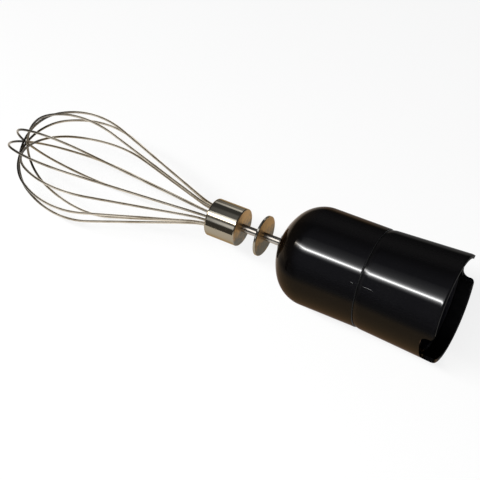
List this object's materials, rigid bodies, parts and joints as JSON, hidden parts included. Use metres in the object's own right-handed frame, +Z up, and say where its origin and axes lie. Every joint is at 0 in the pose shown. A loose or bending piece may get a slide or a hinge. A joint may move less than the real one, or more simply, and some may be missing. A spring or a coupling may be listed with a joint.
{
  "type": "whisk attachment",
  "caption": "Balloon whisk attachment for a hand blender: wire whisk with steel ferrule and disc, on a shaft that pulls out of a domed black gear housing with a handle socket.",
  "frame": {"origin": "centre of the mouth of the socket bore that takes the motor handle", "axes": "+X along the axis out of the socket, towards the motor handle; the whisk points to -X; +Z is up as the part lies in the picture"},
  "size_m": [0.296, 0.0659, 0.0661],
  "materials": {
    "black_shell": "high-gloss black moulded ABS",
    "black_inner": "plain moulded nylon",
    "gear_plastic": "natural acetal, lightly greased",
    "seal_rubber": "smooth black nitrile",
    "bearing_bronze": "sintered, oil-filled",
    "small_steel": "ground and zinc-plated",
    "polished_steel": "mirror-polished stainless",
    "plug_plastic": "plain moulded nylon",
    "wire_steel": "bright drawn stainless wire"
  },
  "bodies": {
    "housing": {"gearbox_dome": "black_shell", "coupling_sleeve": "black_shell", "joint_seal": "seal_rubber", "gearbox_cover": "black_inner", "cover_screws": "small_steel", "ring_gear": "gear_plastic", "output_bushing": "bearing_bronze", "shaft_seal": "seal_rubber", "input_bushing": "bearing_bronze", "front_thrust_washer": "small_steel", "rear_thrust_washer": "small_steel"},
    "output": {"planet_carrier": "gear_plastic", "carrier_rear_plate": "gear_plastic", "planet_pins": "small_steel", "snap_ring": "small_steel"},
    "planet_1": {"planet_gear_1": "gear_plastic"},
    "planet_2": {"planet_gear_2": "gear_plastic"},
    "planet_3": {"planet_gear_3": "gear_plastic"},
    "input": {"sun_gear": "small_steel", "drive_coupling": "black_inner", "shaft_clip": "small_steel"},
    "whisk": {"whisk_shaft": "polished_steel", "splash_disc": "polished_steel", "whisk_ferrule": "polished_steel", "ferrule_plug": "plug_plastic", "whisk_wire_1": "wire_steel", "whisk_wire_2": "wire_steel", "whisk_wire_3": "wire_steel", "whisk_wire_4": "wire_steel", "whisk_wire_5": "wire_steel", "whisk_wire_6": "wire_steel"}
  },
  "joints": [
    {"name": "output_spin", "type": "hinge", "parent": "housing", "child": "output", "pos_m": [-0.08, 0, 0], "axis": [1, 0, 0], "continuous": true},
    {"name": "input_spin", "type": "hinge", "parent": "housing", "child": "input", "pos_m": [-0.05, 0, 0], "axis": [1, 0, 0], "continuous": true},
    {"name": "whisk_pull", "type": "slide", "parent": "output", "child": "whisk", "axis": [-1, 0, 0], "range_m": [0, 0.03]},
    {"name": "planet_1_spin", "type": "hinge", "parent": "output", "child": "planet_1", "pos_m": [-0.0685, 0, 0.0132], "axis": [1, 0, 0], "continuous": true},
    {"name": "planet_2_spin", "type": "hinge", "parent": "output", "child": "planet_2", "pos_m": [-0.0685, -0.01143, -0.0066], "axis": [1, 0, 0], "continuous": true},
    {"name": "planet_3_spin", "type": "hinge", "parent": "output", "child": "planet_3", "pos_m": [-0.0685, 0.01143, -0.0066], "axis": [1, 0, 0], "continuous": true}
  ],
  "couplings": [
    {"joint": "input_spin", "follows": "output_spin", "ratio": 4},
    {"joint": "planet_1_spin", "follows": "output_spin", "ratio": -3},
    {"joint": "planet_2_spin", "follows": "output_spin", "ratio": -3},
    {"joint": "planet_3_spin", "follows": "output_spin", "ratio": -3}
  ]
}
